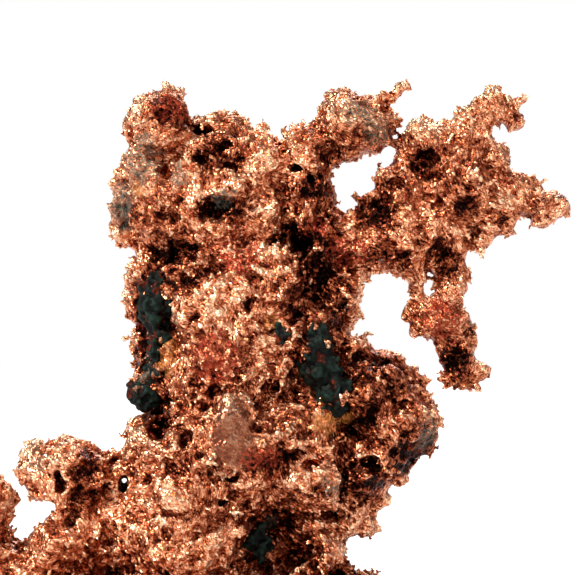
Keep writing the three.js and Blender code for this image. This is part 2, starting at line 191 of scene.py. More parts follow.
# Where the surface differs, or where shade or highlight is painted, each spot as its middle and
# half-sizes in mm
ZONES = {
    # rubbed nearly smooth
    "rubbed": [((-1.6, -13, 30.3), (3.2, 7, 5.6)), ((-26, -5, 26.5), (1.8, 6, 2.2))],
    # dark oxide film, and painted shade where the surface lies in shadow, such as under the crown
    # and on the trunk's right side
    "film": [
        ((9.6, -7, 46.0), (5.2, 9, 9.0)), ((7.5, -7, 54.2), (3.4, 7, 2.6)),
        ((-8.4, -8, 50.8), (5.4, 10, 3.6)), ((-9.0, -6, 69.8), (3.2, 6, 3.0)),
        ((26.2, -3, 39.0), (2.4, 6, 2.6)), ((16.4, -7, 36.8), (6.0, 8, 4.8)),
        ((21.0, -5, 28.0), (3.8, 7, 4.6)), ((13.5, -8, 31.5), (4.0, 7, 3.5)),
        ((4.6, -9, 16.6), (5.8, 9, 5.4)), ((2.6, -11, 27.0), (3.6, 6, 2.4)),
        ((-12.6, -5, 41.5), (2.6, 7, 9.5)), ((-10.6, -6, 32.4), (2.8, 7, 4.0)),
        ((-19.2, -7, 24.6), (2.4, 6, 4.4)), ((16.0, -5, 57.6), (3.6, 5, 3.0)),
        ((8.4, -6, 60.4), (2.4, 6, 2.4)), ((22.6, -5, 63.6), (2.4, 5, 2.4)),
        ((-3.6, -8, 64.4), (4.4, 6, 3.4)), ((-3.0, -9, 57.6), (3.6, 6, 1.8)),
        ((14.4, -7, 24.4), (3.4, 6, 3.4)), ((-14.6, -5, 57.5), (1.8, 6, 2.6)),
        ((27.0, -4, 58.2), (1.8, 5, 1.8)), ((-8.6, -9, 51.6), (3.6, 8, 2.2)),
        ((25.4, -4, 51.2), (2.0, 5, 2.2)),
        ((39.2, -3, 60.2), (0.9, 4, 1.4)), ((23.4, -4, 53.6), (2.8, 5, 1.2)),
        ((19.2, -3, 67.6), (1.4, 4, 2.0)), ((31.0, -3, 57.0), (1.8, 4, 1.2)),
        ((17.5, -6, 52.4), (3.4, 6, 1.4)), ((9.6, -9, 40.0), (4.6, 7, 6.0)),
        ((-14.0, -12, 6.0), (5.0, 7, 3.0)), ((18.0, -5, 9.5), (4.0, 5, 2.4)),
        ((18.5, 7, 4.5), (4.0, 4, 3.0)), ((13.0, 0, 13.0), (5.0, 9, 1.8)),
        ((-38.0, -4, 8.0), (4.0, 5, 3.0)), ((-36.0, 7, 16.0), (4.0, 4, 3.0)),
        ((8.0, -10, 7.0), (4.0, 7, 3.0)), ((2.0, 8, 50.0), (6.0, 7, 4.0)),
        ((-7.0, 8, 36.0), (5.0, 7, 5.0)), ((6.0, 8, 27.0), (5.0, 7, 4.0)),
        ((-14.0, 7, 18.0), (5.0, 7, 4.0)), ((22.0, 4, 57.0), (5.0, 5, 3.5)),
        ((0.0, 12, 8.0), (8.0, 7, 3.0)), ((-27.0, 6, 14.0), (5.0, 6, 4.0)),
        ((-5.0, 6, 60.0), (4.0, 5, 3.0)),
    ],
    # painted highlight: metal made brighter where the light falls on it
    "bright": [
        ((-4.4, -10, 48.8), (2.0, 7, 2.6)), ((0.2, -6, 63.6), (3.8, 6, 3.6)),
        ((-25.2, -4, 27.4), (3.8, 7, 3.0)), ((31.0, -3, 71.2), (3.2, 5, 2.6)),
        ((24.0, -3, 68.4), (5.6, 5, 1.8)), ((36.0, -2, 60.0), (3.4, 5, 1.2)),
        ((-14.2, -3, 69.0), (1.5, 5, 3.2)), ((-5.0, -9, 60.0), (3.0, 6, 1.8)),
        ((-2.4, -10, 45.5), (3.0, 7, 5.0)), ((12.6, -4, 69.8), (4.0, 5, 2.2)),
        ((-31.0, -3, 20.0), (3.0, 6, 4.0)),
        ((0.0, 8, 62.0), (4.0, 6, 3.0)), ((-4.0, 10, 52.0), (4.0, 6, 3.0)),
        ((4.0, 10, 38.0), (3.0, 6, 4.0)), ((-10.0, 10, 12.0), (5.0, 6, 3.0)),
    ],
    # grey-green patina
    "patina": [
        ((-12.6, -6, 64.0), (3.0, 6, 4.0)), ((-8.4, -8, 62.6), (1.8, 5, 2.2)),
        ((-2.8, -9, 59.2), (1.8, 5, 1.6)), ((-14.8, -3, 58.4), (2.8, 6, 4.0)),
        ((14.2, -4, 69.8), (3.0, 5, 2.6)), ((16.6, -4, 67.4), (2.4, 5, 2.4)),
        ((10.6, -8, 23.6), (2.0, 5, 1.8)), ((22.8, -4, 30.0), (1.8, 5, 3.2)),
        ((-13.0, -6, 36.4), (2.0, 6, 4.0)), ((29.0, -3, 44.0), (1.5, 4, 3.0)),
        ((0.0, -14, 5.0), (4.0, 5, 2.4)), ((-9.0, 6, 66.0), (3.0, 5, 3.0)),
        ((10.0, 7, 34.0), (3.0, 5, 4.0)), ((-2.0, 8, 18.0), (3.0, 5, 3.0)),
        ((28.0, 4, 62.0), (3.0, 4, 3.0)), ((-22.0, 6, 24.0), (3.0, 5, 3.0)),
        ((18.0, 9, 9.0), (3.0, 4, 2.0)), ((-39.0, 2, 14.0), (3.0, 4, 2.0)),
    ],
    # red cuprite
    "cuprite": [
        ((9.0, -8, 55.4), (2.8, 6, 1.8)), ((2.0, -12, 27.4), (2.8, 5, 1.6)),
        ((-9.4, -6, 70.2), (2.6, 5, 2.2)), ((-1.0, -9, 52.2), (3.4, 6, 2.8)),
        ((-3.4, -10, 39.5), (3.6, 7, 4.2)), ((24.4, -3, 44.2), (3.2, 5, 3.4)),
        ((12.6, -6, 52.0), (3.4, 6, 2.4)), ((-2.0, 9, 42.0), (4.0, 6, 4.0)),
        ((15.0, 6, 30.0), (3.0, 5, 3.0)), ((-8.0, 9, 25.0), (4.0, 6, 3.0)),
        ((19.0, 0, 5.0), (3.0, 4, 2.4)), ((23.0, 1, 24.0), (3.0, 4, 3.0)),
    ],
    # ochre earth caught in the grains
    "ochre": [
        ((-9.6, -8, 39.6), (1.4, 6, 3.4)), ((10.8, -8, 31.6), (3.4, 6, 1.8)),
        ((-9.8, -9, 24.2), (1.6, 5, 0.9)), ((3.2, -9, 44.0), (1.2, 5, 0.9)),
        ((-13.0, -5, 60.0), (1.6, 5, 1.2)), ((8.0, 10, 16.0), (4.0, 6, 2.0)),
        ((-18.0, 8, 10.0), (4.0, 6, 2.0)), ((-26.0, -8, 8.0), (3.0, 5, 2.0)),
    ],
}


def linear(code):
    """The linear colour of an sRGB hex value."""
    parts = [int(code[i:i + 2], 16) / 255 for i in (0, 2, 4)]
    return [c / 12.92 if c <= 0.04045 else ((c + 0.055) / 1.055) ** 2.4 for c in parts]


def rgba(colour):
    """A colour with full alpha."""
    return (*colour, 1.0)


class SurfaceSizes(bpy.types.PropertyGroup):
    base_voxel: bpy.props.FloatProperty(
        name="Base grid", description="Grid that fuses the heaped lumps",
        default=0.4 * MM, unit="LENGTH")
    meso_voxel: bpy.props.FloatProperty(
        name="Relief grid", description="Grid that holds the lumps and hollows",
        default=0.26 * MM, unit="LENGTH")
    fine_voxel: bpy.props.FloatProperty(
        name="Grain grid", description="Grid that holds the crystal grains",
        default=0.15 * MM, unit="LENGTH")
    broad_voxel: bpy.props.FloatProperty(
        name="Broad grid", description="Grid of the broad mass that heights are measured from",
        default=1.0 * MM, unit="LENGTH")
    hollow_voxel: bpy.props.FloatProperty(
        name="Hollow grid", description="Grid that fuses the hollows and notches",
        default=0.25 * MM, unit="LENGTH")
    crust_base_voxel: bpy.props.FloatProperty(
        name="Crust base grid", description="Grid that fuses the lumps of a green crust",
        default=0.3 * MM, unit="LENGTH")
    crust_voxel: bpy.props.FloatProperty(
        name="Crust grid", description="Grid that holds the knobs of a green crust",
        default=0.18 * MM, unit="LENGTH")


class CopperColours(bpy.types.PropertyGroup):
    bright: bpy.props.FloatVectorProperty(
        name="Bright copper", description="Bare metal on the highest grains",
        subtype="COLOR", size=3, default=linear("fbd2a8"))
    fresh: bpy.props.FloatVectorProperty(
        name="Fresh copper", description="Metal on the grains",
        subtype="COLOR", size=3, default=linear("e3936a"))
    tarnish: bpy.props.FloatVectorProperty(
        name="Tarnish", description="Brown film between the grains",
        subtype="COLOR", size=3, default=linear("a0522f"))
    # Red-brown oxide, and painted shade: the colour of recesses that lie in shadow
    recess_oxide_and_shade: bpy.props.FloatVectorProperty(
        name="Oxide", description="Red-brown oxide in the recesses",
        subtype="COLOR", size=3, default=linear("571b12"))
    # Black oxide, and painted shadow at the bottom of the pits
    pit_oxide_and_shadow: bpy.props.FloatVectorProperty(
        name="Deep hollows", description="Black oxide at the bottom of the pits",
        subtype="COLOR", size=3, default=linear("0f0604"))
    satin: bpy.props.FloatVectorProperty(
        name="Rubbed copper", description="Brown metal rubbed nearly smooth",
        subtype="COLOR", size=3, default=linear("734230"))
    cuprite: bpy.props.FloatVectorProperty(
        name="Cuprite", description="Red copper oxide",
        subtype="COLOR", size=3, default=linear("9a3a22"))
    ochre: bpy.props.FloatVectorProperty(
        name="Ochre", description="Earth caught in the grains",
        subtype="COLOR", size=3, default=linear("a8641e"))
    patina: bpy.props.FloatVectorProperty(
        name="Patina", description="Dull grey-green film",
        subtype="COLOR", size=3, default=linear("544f3f"))


class CrustColours(bpy.types.PropertyGroup):
    body: bpy.props.FloatVectorProperty(
        name="Green crust", description="Main colour of the green mineral",
        subtype="COLOR", size=3, default=linear("0a120d"))
    # Painted shade: the crust takes this colour in its creases
    shade: bpy.props.FloatVectorProperty(
        name="Dark crust", description="Green mineral in its creases",
        subtype="COLOR", size=3, default=linear("020302"))
    # Painted highlight, with some paler mineral: the crust turns to this colour on its knobs
    pale: bpy.props.FloatVectorProperty(
        name="Pale crust", description="Blue-green knobs",
        subtype="COLOR", size=3, default=linear("182b22"))
    threads: bpy.props.FloatVectorProperty(
        name="Copper threads", description="Tarnished copper that grows through the crust",
        subtype="COLOR", size=3, default=linear("5a2416"))


class StageSizes(bpy.types.PropertyGroup):
    lens: bpy.props.FloatProperty(
        name="Lens", description="Focal length", default=200.0, unit="CAMERA")
    view_width: bpy.props.FloatProperty(
        name="View width", description="Width of the view at the nugget",
        default=71.9 * MM, unit="LENGTH")
    view_right: bpy.props.FloatProperty(
        name="View middle", description="Middle of the view, to the right of the origin",
        default=5.19 * MM, unit="LENGTH")
    view_up: bpy.props.FloatProperty(
        name="View height", description="Middle of the view, above the floor",
        default=48.06 * MM, unit="LENGTH")
    floor_reach: bpy.props.FloatProperty(
        name="Floor reach", description="Half the width of the floor",
        default=1.5, unit="LENGTH")


def add_node(tree, kind, links=None, **settings):
    """Adds a node, sets its settings, and links or sets its inputs by name or number."""
    node = tree.nodes.new(kind)
    for key, value in settings.items():
        setattr(node, key, value)
    for key, value in (links or {}).items():
        if isinstance(value, bpy.types.NodeSocket):
            tree.links.new(value, node.inputs[key])
        else:
            node.inputs[key].default_value = value
    return node


def link_object(name, mesh):
    """A new object of a mesh, in the scene, at the origin."""
    piece = bpy.data.objects.new(name, mesh)
    bpy.context.scene.collection.objects.link(piece)
    return piece


def apply_modifiers(piece):
    """Gives the piece the mesh that its modifiers make, and clears them."""
    piece.update_tag()
    graph = bpy.context.evaluated_depsgraph_get()
    made = bpy.data.meshes.new_from_object(piece.evaluated_get(graph), depsgraph=graph)
    old = piece.data
    piece.modifiers.clear()
    piece.data = made
    bpy.data.meshes.remove(old)


def add_modifier(piece, name, kind, **settings):
    """Adds a modifier and sets its settings."""
    modifier = piece.modifiers.new(name, kind)
    for key, value in settings.items():
        setattr(modifier, key, value)
    return modifier


def block_object(name, blocks, grow):
    """One object of boxes that cover the given limits, each grown by so many mm."""
    bm = bmesh.new()
    for limits in blocks:
        size = Vector([high - low + 2 * grow for low, high in limits]) * MM
        centre = Vector([(low + high) / 2 for low, high in limits]) * MM
        bmesh.ops.create_cube(
            bm, size=1.0, matrix=Matrix.Translation(centre) @ Matrix.Diagonal((*size, 1)))
    mesh = bpy.data.meshes.new(name)
    bm.to_mesh(mesh)
    bm.free()
    return link_object(name, mesh)


def keep_largest(piece):
    """Drops the slivers that a neighbour left in a piece, and splits its flat cut faces into
    triangles, so that they stay sound when they are roughened."""
    bm = bmesh.new()
    bm.from_mesh(piece.data)
    bmesh.ops.triangulate(bm, faces=[face for face in bm.faces if len(face.verts) > 4])
    fresh = set(bm.verts)
    islands = []
    while fresh:
        island = {fresh.pop()}
        front = list(island)
        while front:
            for edge in front.pop().link_edges:
                for vert in edge.verts:
                    if vert in fresh:
                        fresh.remove(vert)
                        island.add(vert)
                        front.append(vert)
        islands.append(island)
    islands.sort(key=len)
    bmesh.ops.delete(bm, geom=[v for island in islands[:-1] for v in island], context="VERTS")
    bm.to_mesh(piece.data)
    bm.free()


def zone_mask(tree, where, zones):
    """1 inside soft ellipsoids and 0 outside them, from their middles and half-sizes in mm."""
    mask = None
    for middle, half in zones:
        off = add_node(tree, "ShaderNodeVectorMath", {0: where, 1: middle}, operation="SUBTRACT")
        share = add_node(
            tree, "ShaderNodeVectorMath", {0: off.outputs[0], 1: half}, operation="DIVIDE")
        reach = add_node(
            tree, "ShaderNodeVectorMath", {0: share.outputs[0]}, operation="LENGTH")
        soft = add_node(
            tree, "ShaderNodeMapRange",
            {"Value": reach.outputs["Value"], "From Min": 0.55, "From Max": 1.15,
             "To Min": 1.0, "To Max": 0.0}, interpolation_type="SMOOTHSTEP").outputs[0]
        if mask is None:
            mask = soft
        else:
            mask = add_node(
                tree, "ShaderNodeMath", {0: mask, 1: soft}, operation="MAXIMUM").outputs[0]
    return mask


def geometry_tree(name):
    """A geometry node group, and the socket of the geometry that enters it."""
    tree = bpy.data.node_groups.new(name, "GeometryNodeTree")
    tree.interface.new_socket("Geometry", in_out="INPUT", socket_type="NodeSocketGeometry")
    tree.interface.new_socket("Geometry", in_out="OUTPUT", socket_type="NodeSocketGeometry")
    return tree, add_node(tree, "NodeGroupInput").outputs[0]


def place_in_mm(tree):
    """The place of each point, in mm."""
    place = add_node(tree, "GeometryNodeInputPosition").outputs[0]
    return add_node(
        tree, "ShaderNodeVectorMath", {0: place, "Scale": 1 / MM}, operation="SCALE").outputs[0]


def convexity(tree, steps):
    """How far each point stands out of its blurred surroundings, in mm."""
    place = place_in_mm(tree)
    blurred = add_node(
        tree, "GeometryNodeBlurAttribute", {"Iterations": steps}, data_type="FLOAT_VECTOR")
    tree.links.new(place, [i for i in blurred.inputs if i.type == "VECTOR"][0])
    out = [o for o in blurred.outputs if o.type == "VECTOR"][0]
    off = add_node(tree, "ShaderNodeVectorMath", {0: place, 1: out}, operation="SUBTRACT")
    facing = add_node(tree, "GeometryNodeInputNormal").outputs[0]
    return add_node(
        tree, "ShaderNodeVectorMath", {0: off.outputs[0], 1: facing},
        operation="DOT_PRODUCT").outputs["Value"]


def relief_tree(name, swells=(), creases=(), wander=(), calm=1.0):
    """Pushes the surface in and out along its normals: swells are noises of a period and a
    depth, creases are winding ridges (or gullies, where the height is negative) of a period,
    a height and a width. Wandering noises then shift the points sideways. All in mm. Rubbed
    parts keep the share calm of it all."""
    tree, geometry = geometry_tree(name)
    where = place_in_mm(tree)
    facing = add_node(tree, "GeometryNodeInputNormal").outputs[0]
    keep = add_node(
        tree, "ShaderNodeMapRange",
        {"Value": zone_mask(tree, where, ZONES["rubbed"]), "To Min": MM, "To Max": calm * MM})
    amount = 0.0
    for period, depth, seed in swells:
        noise = add_node(
            tree, "ShaderNodeTexNoise",
            {"Vector": where, "W": seed, "Scale": 1 / period, "Detail": 3.0, "Roughness": 0.55},
            noise_dimensions="4D")
        level = add_node(
            tree, "ShaderNodeMath", {0: noise.outputs[0], 1: 0.5}, operation="SUBTRACT")
        amount = add_node(
            tree, "ShaderNodeMath", {0: level.outputs[0], 1: 2 * depth, 2: amount},
            operation="MULTIPLY_ADD").outputs[0]
    for period, height, width, seed in creases:
        noise = add_node(
            tree, "ShaderNodeTexNoise",
            {"Vector": where, "W": seed, "Scale": 1 / period, "Detail": 2.0, "Roughness": 0.5},
            noise_dimensions="4D")
        off = add_node(
            tree, "ShaderNodeMath", {0: noise.outputs[0], 1: 0.5}, operation="SUBTRACT")
        off = add_node(tree, "ShaderNodeMath", {0: off.outputs[0]}, operation="ABSOLUTE")
        crest = add_node(
            tree, "ShaderNodeMapRange",
            {"Value": off.outputs[0], "From Max": 0.5 * width / period, "To Min": height,
             "To Max": 0.0}, interpolation_type="SMOOTHSTEP")
        amount = add_node(
            tree, "ShaderNodeMath", {0: amount, 1: crest.outputs[0]}, operation="ADD").outputs[0]
    offset = add_node(
        tree, "ShaderNodeVectorMath", {0: facing, "Scale": amount}, operation="SCALE").outputs[0]
    for period, reach, seed in wander:
        noise = add_node(
            tree, "ShaderNodeTexNoise",
            {"Vector": where, "W": seed, "Scale": 1 / period, "Detail": 2.0, "Roughness": 0.5},
            noise_dimensions="4D")
        centred = add_node(
            tree, "ShaderNodeVectorMath", {0: noise.outputs["Color"], 1: (0.5, 0.5, 0.5)},
            operation="SUBTRACT")
        offset = add_node(
            tree, "ShaderNodeVectorMath",
            {0: centred.outputs[0], 1: (2 * reach,) * 3, 2: offset},
            operation="MULTIPLY_ADD").outputs[0]
    offset = add_node(
        tree, "ShaderNodeVectorMath", {0: offset, "Scale": keep.outputs[0]},
        operation="SCALE").outputs[0]
    moved = add_node(
        tree, "GeometryNodeSetPosition", {"Geometry": geometry, "Offset": offset})
    add_node(tree, "NodeGroupOutput", {0: moved.outputs[0]})
    return tree


def twig_collection():
    """Three small twigs of grown-together crystals, each about 1 mm tall along Z."""
    twigs = bpy.data.collections.new("twigs")
    for number in range(3):
        draw = random.Random(40 + number)
        bm = bmesh.new()
        spot = Vector((0, 0, -0.15))
        heading = Vector((0, 0, 1))
        width = 0.24
        for _ in range(4):
            for aside in (0.0, 1.0):
                shift = Vector([draw.uniform(-1, 1) for _ in range(3)]) * aside * 1.3 * width
                turn = Euler([draw.uniform(0, math.pi) for _ in range(3)])
                girth = Vector([draw.uniform(0.7, 1.3) for _ in range(3)]) * width * MM
                bmesh.ops.create_icosphere(
                    bm, subdivisions=1, radius=1.0,
                    matrix=Matrix.LocRotScale((spot + shift) * MM, turn, girth))
            spot = spot + heading * width * 1.2
            heading = (heading + Vector([draw.uniform(-0.6, 0.6) for _ in range(3)])).normalized()
            width *= 0.88
        mesh = bpy.data.meshes.new(f"twig_{number}")
        bm.to_mesh(mesh)
        bm.free()
        twigs.objects.link(bpy.data.objects.new(mesh.name, mesh))
    return twigs


def growth_tree(name, twigs, everywhere, on_ridges, sizes, seed):
    """Grows crystal twigs out of the surface: so many per square mm everywhere, more on ridges."""
    tree, geometry = geometry_tree(name)
    where = place_in_mm(tree)
    rubbed = zone_mask(tree, where, ZONES["rubbed"])
    bare = add_node(tree, "ShaderNodeMath", {0: 1.0, 1: rubbed}, operation="SUBTRACT").outputs[0]
    ridge = add_node(
        tree, "ShaderNodeMapRange",
        {"Value": convexity(tree, 10), "From Min": 0.02, "From Max": 0.16,
         "To Min": everywhere / MM ** 2, "To Max": on_ridges / MM ** 2})
    many = add_node(
        tree, "ShaderNodeMath", {0: bare, 1: ridge.outputs[0]}, operation="MULTIPLY").outputs[0]
    points = add_node(
        tree, "GeometryNodeDistributePointsOnFaces",
        {"Mesh": geometry, "Density": many, "Seed": seed})
    lean = add_node(
        tree, "FunctionNodeRandomValue", {0: (-0.9, -0.9, -3.14), 1: (0.9, 0.9, 3.14)},
        data_type="FLOAT_VECTOR")
    lean = add_node(tree, "FunctionNodeEulerToRotation", {0: lean.outputs[0]})
    turn = add_node(
        tree, "FunctionNodeRotateRotation",
        {0: points.outputs["Rotation"], 1: lean.outputs[0]}, rotation_space="LOCAL")
    girth = add_node(
        tree, "FunctionNodeRandomValue", {2: sizes[0], 3: sizes[1], "Seed": 7}, data_type="FLOAT")
    made = add_node(
        tree, "GeometryNodeCollectionInfo",
        {"Collection": twigs, "Separate Children": True, "Reset Children": True})
    grown = add_node(
        tree, "GeometryNodeInstanceOnPoints",
        {"Points": points.outputs["Points"], "Instance": made.outputs[0],
         "Pick Instance": True, "Rotation": turn.outputs[0], "Scale": girth.outputs[1]})
    real = add_node(tree, "GeometryNodeRealizeInstances", {0: grown.outputs[0]})
    both = add_node(tree, "GeometryNodeJoinGeometry", {0: geometry})
    tree.links.new(real.outputs[0], both.inputs[0])
    add_node(tree, "NodeGroupOutput", {0: both.outputs[0]})
    return tree


def measure_tree(name, soft_mass, broad_mass):
    """Keeps on each point what the material needs: its height in mm over the broad mass, over
    the soft mass and over its surroundings, how far it faces down, and its zones."""
    tree, geometry = geometry_tree(name)
    place = add_node(tree, "GeometryNodeInputPosition").outputs[0]
    facing = add_node(tree, "GeometryNodeInputNormal").outputs[0]
    kept = {}
    for title, mass in (("broad", broad_mass), ("relief", soft_mass)):
        body = add_node(tree, "GeometryNodeObjectInfo", {"Object": mass}).outputs["Geometry"]
        near = add_node(tree, "GeometryNodeProximity", {0: body}, target_element="FACES")
        out = add_node(
            tree, "GeometryNodeSampleNearestSurface", {"Mesh": body}, data_type="FLOAT_VECTOR")
        tree.links.new(facing, [i for i in out.inputs if i.type == "VECTOR"][0])
        away = add_node(
            tree, "ShaderNodeVectorMath", {0: place, 1: near.outputs["Position"]},
            operation="SUBTRACT")
        outward = [o for o in out.outputs if o.type == "VECTOR"][0]
        side = add_node(
            tree, "ShaderNodeVectorMath", {0: away.outputs[0], 1: outward},
            operation="DOT_PRODUCT")
        kept[title] = add_node(
            tree, "ShaderNodeMath", {0: side.outputs["Value"], 1: 1 / MM},
            operation="MULTIPLY").outputs[0]
    kept["down"] = add_node(
        tree, "ShaderNodeVectorMath", {0: outward, 1: (0.0, 0.0, -1.0)},
        operation="DOT_PRODUCT").outputs["Value"]
    kept["edge"] = convexity(tree, 5)
    where = place_in_mm(tree)
    wobble = add_node(
        tree, "ShaderNodeTexNoise",
        {"Vector": where, "Scale": 1 / 1.6, "Detail": 4.0, "Roughness": 0.65}).outputs["Color"]
    wobble = add_node(
        tree, "ShaderNodeVectorMath", {0: wobble, 1: (0.5, 0.5, 0.5)},
        operation="SUBTRACT").outputs[0]
    where = add_node(
        tree, "ShaderNodeVectorMath", {0: wobble, 1: (5.0, 5.0, 5.0), 2: where},
        operation="MULTIPLY_ADD").outputs[0]
    for title, zones in ZONES.items():
        kept[title] = zone_mask(tree, where, zones)
    for title, value in kept.items():
        geometry = add_node(
            tree, "GeometryNodeStoreNamedAttribute",
            {"Geometry": geometry, "Name": title, "Value": value}).outputs[0]
    add_node(tree, "NodeGroupOutput", {0: geometry})
    return tree


def fused_mass(sizes):
    """The metal solids swollen over their forks, fused and softened into one mass. Metal also
    lies inside the green fillings, so that it shows wherever their crust is thin."""
    bm = bmesh.new()
    for name in sorted({piece[0] for piece in METAL_PIECES.values()} | set(FILLINGS)):
        bm.from_mesh(frame["nodes"][name].data)
    bmesh.ops.remove_doubles(bm, verts=bm.verts, dist=0.001 * MM)
    for x, z, half_x, half_z in NUBS:
        shape = Matrix.LocRotScale(
            Vector((x, NUB_PLACE, z)) * MM, None, Vector((half_x, NUB_DEPTH, half_z)) * MM)
        bmesh.ops.create_icosphere(bm, subdivisions=2, radius=1.0, matrix=shape)
    for name, lumps in OVERGROWTHS.items():
        crust = frame["nodes"][name]
        for x, z, half_x, half_z, lean in lumps:
            start = Vector((x * MM, -FAR * MM, z * MM))
            met, spot, _, _ = crust.ray_cast(start, Vector((0, 1, 0)))
            if not met:
                spot = Vector((x, OVERGROWTH_PLACE, z)) * MM
            shape = Matrix.LocRotScale(
                spot, Euler((0, math.radians(lean), 0)),
                Vector((half_x, OVERGROWTH_DEPTH, half_z)) * MM)
            bmesh.ops.create_icosphere(bm, subdivisions=2, radius=1.0, matrix=shape)
    mesh = bpy.data.meshes.new("metal_mass")
    bm.to_mesh(mesh)
    bm.free()
    mass = link_object("metal_mass", mesh)
    add_modifier(
        mass, "swell over the forks", "DISPLACE", strength=FORK_SWELL * MM, mid_level=0.0)
    add_modifier(mass, "fuse", "REMESH", mode="VOXEL", voxel_size=sizes.base_voxel)
    add_modifier(mass, "soften", "SMOOTH", factor=0.5, iterations=4)
    add_modifier(
        mass, "leave room for grains", "DISPLACE", strength=-GRAIN_ROOM * MM, mid_level=0.0)
    apply_modifiers(mass)
    hollows = hollow_shapes(mass, sizes)
    add_modifier(
        mass, "hollows", "BOOLEAN", object=hollows, operation="DIFFERENCE", solver="MANIFOLD")
    add_modifier(mass, "even grid", "REMESH", mode="VOXEL", voxel_size=sizes.base_voxel)
    apply_modifiers(mass)
    bpy.data.objects.remove(hollows)
    for vert in mass.data.vertices:
        if vert.co.z < UNDERSIDE_MARGIN * MM:
            vert.co.z -= UNDERSIDE_MARGIN * MM
    return mass


def hollow_shapes(mass, sizes):
    """Balls sunk into the mass and notches through it, fused into one shape."""
    bm = bmesh.new()
    for hollows, inward in ((FRONT_HOLLOWS, 1), (BACK_HOLLOWS, -1)):
        for x, z, half_x, half_z, depth, lean in hollows:
            start = Vector((x * MM, -FAR * MM * inward, z * MM))
            met, spot, _, _ = mass.ray_cast(start, Vector((0, inward, 0)))
            if not met:
                raise RuntimeError(f"the hollow at {x}, {z} misses the metal")
            shape = Matrix.LocRotScale(
                spot, Euler((0, math.radians(lean), 0)), Vector((half_x, depth, half_z)) * MM)
            bmesh.ops.create_icosphere(bm, subdivisions=3, radius=1.0, matrix=shape)
    for x, z, half_x, half_z in NOTCHES:
        shape = Matrix.LocRotScale(
            Vector((x, 0, z)) * MM, None, Vector((half_x, NOTCH_DEPTH, half_z)) * MM)
        bmesh.ops.create_icosphere(bm, subdivisions=3, radius=1.0, matrix=shape)
    mesh = bpy.data.meshes.new("hollows")
    bm.to_mesh(mesh)
    bm.free()
    hollows = link_object("hollows", mesh)
    ragged = relief_tree(
        "Ragged hollows", swells=[(1.8, 0.6, 71.0)], wander=[(2.4, 0.7, 73.0)])
    add_modifier(hollows, "fuse", "REMESH", mode="VOXEL", voxel_size=sizes.hollow_voxel)
    add_modifier(hollows, "ragged walls", "NODES", node_group=ragged)
    add_modifier(hollows, "fuse again", "REMESH", mode="VOXEL", voxel_size=sizes.hollow_voxel)
    apply_modifiers(hollows)
    return hollows


